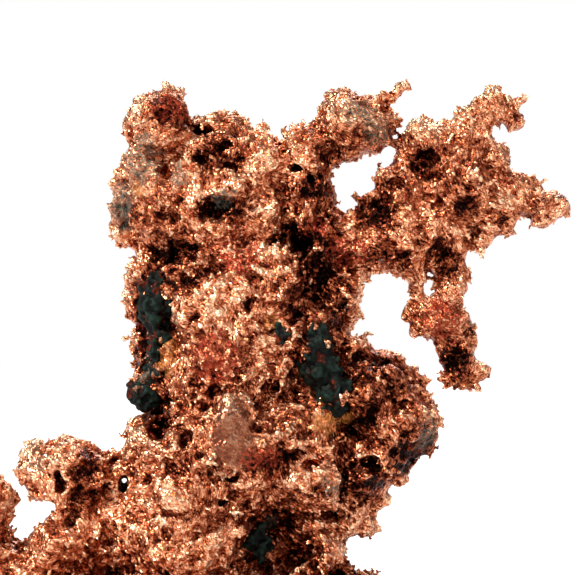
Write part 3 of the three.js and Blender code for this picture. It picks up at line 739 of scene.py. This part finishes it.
def copper_material(colours):
    """Native copper: hackly grains of bright metal, with brown, red and black oxide, patina and
    earth in the recesses. The colour also holds painted shade, darker in hollows, under overhangs
    and on faces turned down, and painted highlight on ridges. The grains sparkle because each one
    faces its own way."""
    material = bpy.data.materials.new("Native copper, hackly")
    material.use_nodes = True
    tree = material.node_tree
    tree.nodes.clear()
    place = add_node(tree, "ShaderNodeTexCoord").outputs["Object"]
    where = add_node(
        tree, "ShaderNodeVectorMath", {0: place, "Scale": 1 / MM}, operation="SCALE").outputs[0]
    kept = {
        title: add_node(tree, "ShaderNodeAttribute", attribute_name=title).outputs["Fac"]
        for title in ("broad", "relief", "down", "edge", *ZONES)}

    # Crystal grains: blocky ones 0.4 mm wide, and fibres 0.14 mm wide and 0.36 mm long that
    # run in bending swarms. Each one leans its own way.
    bend = add_node(tree, "ShaderNodeTexNoise", {"Vector": where, "Scale": 1 / 9.0})
    bent = add_node(
        tree, "ShaderNodeVectorMath", {0: bend.outputs["Color"], 1: (9.0, 9.0, 9.0), 2: where},
        operation="MULTIPLY_ADD").outputs[0]
    bent = add_node(
        tree, "ShaderNodeVectorRotate", {"Vector": bent, "Rotation": (0.3, 0.7, 0.0)},
        rotation_type="EULER_XYZ").outputs[0]
    fibres = add_node(
        tree, "ShaderNodeVectorMath", {0: bent, 1: (1 / 0.14, 1 / 0.14, 1 / 0.36)},
        operation="MULTIPLY").outputs[0]
    blocks = add_node(
        tree, "ShaderNodeVectorMath", {0: where, "Scale": 1 / 0.4}, operation="SCALE").outputs[0]
    lean = (0.0, 0.0, 0.0)
    specks = []
    for spread, tilt in ((blocks, 0.5), (fibres, 1.0)):
        grain = add_node(tree, "ShaderNodeTexVoronoi", {"Vector": spread, "Scale": 1.0})
        specks.append(add_node(tree, "ShaderNodeSeparateColor", {0: grain.outputs["Color"]}))
        tip = add_node(
            tree, "ShaderNodeVectorMath", {0: grain.outputs["Color"], 1: (0.5, 0.5, 0.5)},
            operation="SUBTRACT").outputs[0]
        lean = add_node(
            tree, "ShaderNodeVectorMath", {0: tip, 1: (tilt,) * 3, 2: lean},
            operation="MULTIPLY_ADD").outputs[0]
    leaning = add_node(
        tree, "ShaderNodeMapRange", {"Value": kept["rubbed"], "To Min": 1.0, "To Max": 0.45})
    facing = add_node(tree, "ShaderNodeNewGeometry").outputs["Normal"]
    lean = add_node(
        tree, "ShaderNodeVectorMath", {0: lean, "Scale": leaning.outputs[0]}, operation="SCALE")
    turned = add_node(
        tree, "ShaderNodeVectorMath", {0: facing, 1: lean.outputs[0]}, operation="ADD")
    turned = add_node(
        tree, "ShaderNodeVectorMath", {0: turned.outputs[0]}, operation="NORMALIZE").outputs[0]

    # How bare the metal is: from 0, black oxide, to 1, bright copper, with painted shade and
    # painted highlight mixed in
    clouds = [
        add_node(
            tree, "ShaderNodeTexNoise",
            {"Vector": where, "Scale": 1 / period, "Detail": 5.0, "Roughness": 0.6}).outputs[0]
        for period in (8.0, 2.6)]
    bareness_and_painted_light = 0.51
    # Painted shade: the value drops in broad valleys and small hollows, on faces turned down and
    # in the film zones. Painted highlight: it rises on ridges and in the bright zones.
    for source, weight, middle in (
            (kept["broad"], 0.08, 0.0), (kept["relief"], 0.14, 0.0), (kept["edge"], 1.6, 0.0),
            (kept["down"], -0.10, 0.0), (kept["film"], -0.42, 0.0), (kept["bright"], 0.18, 0.0),
            (kept["cuprite"], -0.08, 0.0), (clouds[0], 0.9, 0.5), (clouds[1], 0.5, 0.5),
            (specks[0].outputs[0], 0.22, 0.5), (specks[1].outputs[0], 0.55, 0.5)):
        bareness_and_painted_light = add_node(
            tree, "ShaderNodeMath", {0: source, 1: weight, 2: bareness_and_painted_light},
            operation="MULTIPLY_ADD").outputs[0]
        if middle:
            bareness_and_painted_light = add_node(
                tree, "ShaderNodeMath", {0: bareness_and_painted_light, 1: middle * weight},
                operation="SUBTRACT").outputs[0]
    # The ramp's two darkest stops are oxide and painted shade, for recesses and pit bottoms in
    # shadow
    ramp = add_node(tree, "ShaderNodeValToRGB", {0: bareness_and_painted_light})
    stops = ramp.color_ramp.elements
    stops[0].position = 0.04
    stops[0].color = rgba(colours.pit_oxide_and_shadow)
    stops[1].position = 0.98
    stops[1].color = rgba(colours.bright)
    for at, colour in ((0.18, colours.recess_oxide_and_shade), (0.42, colours.tarnish), (0.68, colours.fresh)):
        stops.new(at).color = rgba(colour)
    satin = add_node(
        tree, "ShaderNodeMath", {0: kept["rubbed"], 1: 0.78}, operation="MULTIPLY").outputs[0]
    colour = add_node(
        tree, "ShaderNodeMix", {0: satin, 6: ramp.outputs[0], 7: rgba(colours.satin)},
        data_type="RGBA").outputs[2]

    # Red oxide, earth and patina lie over the metal in spots.
    dull = 0.0
    for title, stain, speck, strength, dulls in (
            ("cuprite", colours.cuprite, specks[0].outputs[1], 0.8, 0.2),
            ("ochre", colours.ochre, specks[1].outputs[1], 0.85, 0.8),
            ("patina", colours.patina, specks[1].outputs[2], 0.75, 0.8)):
        share = add_node(
            tree, "ShaderNodeMath", {0: kept[title], 1: strength}, operation="MULTIPLY")
        share = add_node(
            tree, "ShaderNodeMath", {0: share.outputs[0], 1: speck}, operation="MULTIPLY")
        spots = add_node(
            tree, "ShaderNodeMapRange",
            {"Value": share.outputs[0], "From Min": 0.15, "From Max": 0.6}).outputs[0]
        colour = add_node(
            tree, "ShaderNodeMix", {0: spots, 6: colour, 7: rgba(stain)},
            data_type="RGBA").outputs[2]
        dull = add_node(
            tree, "ShaderNodeMath", {0: spots, 1: dulls, 2: dull},
            operation="MULTIPLY_ADD").outputs[0]
    metal = add_node(
        tree, "ShaderNodeMath", {0: 1.0, 1: dull}, operation="SUBTRACT", use_clamp=True)
    roughness = add_node(
        tree, "ShaderNodeMapRange", {"Value": dull, "To Min": 0.33, "To Max": 0.75})
    surface = add_node(
        tree, "ShaderNodeBsdfPrincipled",
        {"Base Color": colour, "Metallic": metal.outputs[0],
         "Roughness": roughness.outputs[0], "Normal": turned})
    add_node(tree, "ShaderNodeOutputMaterial", {0: surface.outputs[0]})
    return material


def crust_material(colours):
    """Chrysocolla and malachite crust: dull to waxy, with painted shade in its creases and painted
    highlight on its knobs.
    """
    material = bpy.data.materials.new("Chrysocolla crust")
    material.use_nodes = True
    tree = material.node_tree
    tree.nodes.clear()
    place = add_node(tree, "ShaderNodeTexCoord").outputs["Object"]
    where = add_node(
        tree, "ShaderNodeVectorMath", {0: place, "Scale": 1 / MM}, operation="SCALE").outputs[0]
    edge = add_node(tree, "ShaderNodeAttribute", attribute_name="edge").outputs["Fac"]
    cloud = add_node(
        tree, "ShaderNodeTexNoise",
        {"Vector": where, "Scale": 1 / 1.8, "Detail": 6.0, "Roughness": 0.65}).outputs[0]
    # Painted shade and highlight: the crust goes darker where it dips below its surroundings and
    # paler where it stands out
    level = add_node(
        tree, "ShaderNodeMath", {0: edge, 1: 3.0, 2: cloud}, operation="MULTIPLY_ADD").outputs[0]
    ramp = add_node(tree, "ShaderNodeValToRGB", {0: level})
    stops = ramp.color_ramp.elements
    stops[0].position = 0.36
    stops[0].color = rgba(colours.shade)
    stops[1].position = 0.95
    stops[1].color = rgba(colours.pale)
    stops.new(0.58).color = rgba(colours.body)

    # Threads of tarnished copper grow through the crust.
    threads = add_node(
        tree, "ShaderNodeTexNoise",
        {"Vector": where, "W": 4.0, "Scale": 1 / 2.4, "Detail": 7.0, "Roughness": 0.7},
        noise_dimensions="4D").outputs[0]
    threads = add_node(
        tree, "ShaderNodeMapRange",
        {"Value": threads, "From Min": 0.56, "From Max": 0.62}).outputs[0]
    grain = add_node(tree, "ShaderNodeTexVoronoi", {"Vector": where, "Scale": 1 / 0.2})
    lean = add_node(
        tree, "ShaderNodeVectorMath", {0: grain.outputs["Color"], 1: (0.5, 0.5, 0.5)},
        operation="SUBTRACT").outputs[0]
    lean = add_node(
        tree, "ShaderNodeVectorMath", {0: lean, "Scale": threads}, operation="SCALE").outputs[0]
    facing = add_node(tree, "ShaderNodeNewGeometry").outputs["Normal"]
    turned = add_node(
        tree, "ShaderNodeVectorMath", {0: facing, 1: lean}, operation="ADD").outputs[0]
    turned = add_node(
        tree, "ShaderNodeVectorMath", {0: turned}, operation="NORMALIZE").outputs[0]
    colour = add_node(
        tree, "ShaderNodeMix", {0: threads, 6: ramp.outputs[0], 7: rgba(colours.threads)},
        data_type="RGBA").outputs[2]
    surface = add_node(
        tree, "ShaderNodeBsdfPrincipled",
        {"Base Color": colour, "Metallic": threads, "Roughness": 0.6,
         "Specular IOR Level": 0.1, "Normal": turned})
    add_node(tree, "ShaderNodeOutputMaterial", {0: surface.outputs[0]})
    return material


class NUGGET_OT_branches(bpy.types.Operator):
    """Builds the metal branches from one fused mass, roughened and parted at the forks"""
    bl_idname = "nugget.branches"
    bl_label = "Metal branches"

    def execute(self, context):
        sizes = context.scene.nugget_sizes
        copper = copper_material(context.scene.nugget_colours)
        soft_mass = fused_mass(sizes)
        broad_mass = link_object("broad_mass", soft_mass.data.copy())
        add_modifier(
            broad_mass, "coarse grid", "REMESH", mode="VOXEL", voxel_size=sizes.broad_voxel)
        add_modifier(broad_mass, "soften", "SMOOTH", factor=0.5, iterations=14)
        apply_modifiers(broad_mass)
        mass = link_object("rough_mass", soft_mass.data.copy())
        twigs = twig_collection()
        meso = relief_tree(
            "Lumps and gullies", calm=0.25,
            swells=[(9.0, 0.9, 13.0), (4.2, 0.9, 3.0), (1.9, 0.45, 11.0)],
            creases=[(6.0, -0.6, 0.7, 21.0), (3.4, 0.4, 0.6, 29.0)],
            wander=[(1.8, 0.7, 5.0)])
        knobs = growth_tree("Knobs", twigs, 0.012, 0.10, (1.4, 2.6), 5)
        grains = relief_tree(
            "Crystal grains", calm=0.3, swells=[(0.7, 0.2, 7.0)],
            creases=[(1.3, -0.15, 0.25, 31.0)], wander=[(0.5, 0.2, 9.0)])
        growth = growth_tree("Twigs", twigs, 0.25, 2.2, (0.45, 1.15), 3)
        crisp = relief_tree(
            "Grain faces", calm=0.3, swells=[(0.35, 0.09, 17.0)], wander=[(0.3, 0.08, 19.0)])
        measure = measure_tree("Heights and zones", soft_mass, broad_mass)
        add_modifier(mass, "lumps and gullies", "NODES", node_group=meso)
        add_modifier(mass, "knobs", "NODES", node_group=knobs)
        add_modifier(mass, "relief grid", "REMESH", mode="VOXEL", voxel_size=sizes.meso_voxel)
        apply_modifiers(mass)
        above_floor = block_object("above_floor", [(ALL, ALL, (0, FAR))], 0)
        for name, (node, most_faces, blocks) in METAL_PIECES.items():
            piece = link_object(name, mass.data.copy())
            region = block_object("region", blocks, FORK_OVERLAP)
            add_modifier(
                piece, "part at the forks", "BOOLEAN", object=region,
                operation="INTERSECT", solver="MANIFOLD")
            apply_modifiers(piece)
            keep_largest(piece)
            add_modifier(piece, "crystal grains", "NODES", node_group=grains)
            add_modifier(piece, "twigs", "NODES", node_group=growth)
            add_modifier(piece, "grain grid", "REMESH", mode="VOXEL", voxel_size=sizes.fine_voxel)
            add_modifier(piece, "grain faces", "NODES", node_group=crisp)
            if node == "foot":
                add_modifier(
                    piece, "flat underside", "BOOLEAN", object=above_floor,
                    operation="INTERSECT", solver="MANIFOLD")
            apply_modifiers(piece)
            faces = 2 * len(piece.data.polygons)
            if faces > most_faces:
                add_modifier(piece, "thin", "DECIMATE", ratio=most_faces / faces)
            add_modifier(piece, "heights and zones", "NODES", node_group=measure)
            apply_modifiers(piece)
            bpy.data.objects.remove(region)
            piece.data.materials.clear()
            piece.data.materials.append(copper)
            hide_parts(node)
            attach(piece, "root")
        for spare in (above_floor, mass, soft_mass, broad_mass, *twigs.objects):
            bpy.data.objects.remove(spare)
        bpy.data.collections.remove(twigs)
        return {"FINISHED"}


class NUGGET_OT_fillings(bpy.types.Operator):
    """Builds the soft green crusts that fill the hollows"""
    bl_idname = "nugget.fillings"
    bl_label = "Green fillings"

    def execute(self, context):
        sizes = context.scene.nugget_sizes
        green = crust_material(context.scene.nugget_crust)
        knobs = relief_tree(
            "Crust knobs", swells=[(3.0, 1.3, 61.0), (1.2, 0.6, 41.0)],
            creases=[(2.2, -0.8, 0.5, 43.0)], wander=[(1.4, 0.6, 59.0)])
        grit = relief_tree("Crust grit", swells=[(0.6, 0.2, 53.0)])
        height, height_in = geometry_tree("Crust heights")
        stored = add_node(
            height, "GeometryNodeStoreNamedAttribute",
            {"Geometry": height_in, "Name": "edge", "Value": convexity(height, 6)})
        add_node(height, "NodeGroupOutput", {0: stored.outputs[0]})
        for name in FILLINGS:
            bm = bmesh.new()
            bm.from_mesh(frame["nodes"][name].data)
            bmesh.ops.remove_doubles(bm, verts=bm.verts, dist=0.001 * MM)
            mesh = bpy.data.meshes.new(name)
            bm.to_mesh(mesh)
            bm.free()
            piece = link_object(name + "_crust", mesh)
            add_modifier(piece, "swell", "DISPLACE", strength=CRUST_SWELL * MM, mid_level=0.0)
            add_modifier(
                piece, "fuse", "REMESH", mode="VOXEL", voxel_size=sizes.crust_base_voxel)
            add_modifier(piece, "soften", "SMOOTH", factor=0.5, iterations=12)
            add_modifier(piece, "knobs", "NODES", node_group=knobs)
            add_modifier(piece, "grid", "REMESH", mode="VOXEL", voxel_size=sizes.crust_voxel)
            add_modifier(piece, "soften the knobs", "SMOOTH", factor=0.5, iterations=3)
            add_modifier(piece, "grit", "NODES", node_group=grit)
            add_modifier(piece, "heights", "NODES", node_group=height)
            apply_modifiers(piece)
            piece.data.shade_smooth()
            piece.data.materials.clear()
            piece.data.materials.append(green)
            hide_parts(name)
            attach(piece, "root")
        return {"FINISHED"}


class NUGGET_OT_stage(bpy.types.Operator):
    """Sets the pale floor, the soft lights and the camera"""
    bl_idname = "nugget.stage"
    bl_label = "Stage"

    def execute(self, context):
        stage = context.scene.nugget_stage
        scene = context.scene
        bm = bmesh.new()
        bmesh.ops.create_grid(bm, x_segments=1, y_segments=1, size=stage.floor_reach)
        mesh = bpy.data.meshes.new("floor")
        bm.to_mesh(mesh)
        bm.free()
        floor = link_object("floor", mesh)
        paper = bpy.data.materials.new("White paper sweep")
        paper.use_nodes = True
        dull = paper.node_tree.nodes["Principled BSDF"]
        dull.inputs["Base Color"].default_value = (0.8, 0.8, 0.8, 1)
        dull.inputs["Roughness"].default_value = 0.9
        mesh.materials.append(paper)

        world = bpy.data.worlds.new("Studio")
        world.use_nodes = True
        scene.world = world
        tree = world.node_tree
        tree.nodes.clear()
        path = add_node(tree, "ShaderNodeLightPath")
        shade = add_node(
            tree, "ShaderNodeMix",
            {0: path.outputs["Is Camera Ray"], 6: (0.28, 0.28, 0.31, 1), 7: (1.0, 1.0, 1.0, 1)},
            data_type="RGBA")
        glow = add_node(tree, "ShaderNodeBackground", {"Color": shade.outputs[2]})
        add_node(tree, "ShaderNodeOutputWorld", {0: glow.outputs[0]})

        # Each lamp: the way to it, its strength and how wide it looks, in degrees
        for name, toward, power, spread in (
                ("key", (-0.52, -0.52, 0.68), 5.8, 12),
                ("fill", (0.75, -0.55, 0.35), 0.7, 30),
                ("rim", (0.2, 0.8, 0.6), 1.5, 25)):
            lamp = bpy.data.lights.new(name, "SUN")
            lamp.energy = power
            lamp.angle = math.radians(spread)
            lit = bpy.data.objects.new(name, lamp)
            lit.rotation_euler = Vector(toward).to_track_quat("Z", "Y").to_euler()
            scene.collection.objects.link(lit)

        camera = bpy.data.cameras.new("camera")
        camera.lens = stage.lens
        camera.sensor_width = 36.0
        camera.clip_start = 0.01
        held = bpy.data.objects.new("camera", camera)
        distance = stage.view_width * stage.lens / camera.sensor_width
        held.location = (stage.view_right, -distance, stage.view_up)
        held.rotation_euler = (math.pi / 2, 0, 0)
        scene.collection.objects.link(held)
        scene.camera = held
        scene.view_settings.view_transform = "Standard"
        scene.view_settings.look = "None"
        return {"FINISHED"}


class NUGGET_PT_panel(bpy.types.Panel):
    bl_idname = "NUGGET_PT_panel"
    bl_label = "Native copper nugget"
    bl_space_type = "VIEW_3D"
    bl_region_type = "UI"
    bl_category = "Nugget"

    def draw(self, context):
        for kind in OPERATORS:
            self.layout.operator(kind.bl_idname)


OPERATORS = (NUGGET_OT_stage, NUGGET_OT_branches, NUGGET_OT_fillings)
GROUPS = {
    "nugget_sizes": SurfaceSizes, "nugget_colours": CopperColours,
    "nugget_crust": CrustColours, "nugget_stage": StageSizes,
}


def register():
    for name, kind in GROUPS.items():
        bpy.utils.register_class(kind)
        setattr(bpy.types.Scene, name, bpy.props.PointerProperty(type=kind))
    for kind in (*OPERATORS, NUGGET_PT_panel):
        bpy.utils.register_class(kind)


def unregister():
    for kind in (*OPERATORS, NUGGET_PT_panel):
        bpy.utils.unregister_class(kind)
    for name, kind in GROUPS.items():
        delattr(bpy.types.Scene, name)
        bpy.utils.unregister_class(kind)


def main():
    register()
    bpy.ops.nugget.stage()
    bpy.ops.nugget.branches()
    bpy.ops.nugget.fillings()


if __name__ == "__main__":
    main()
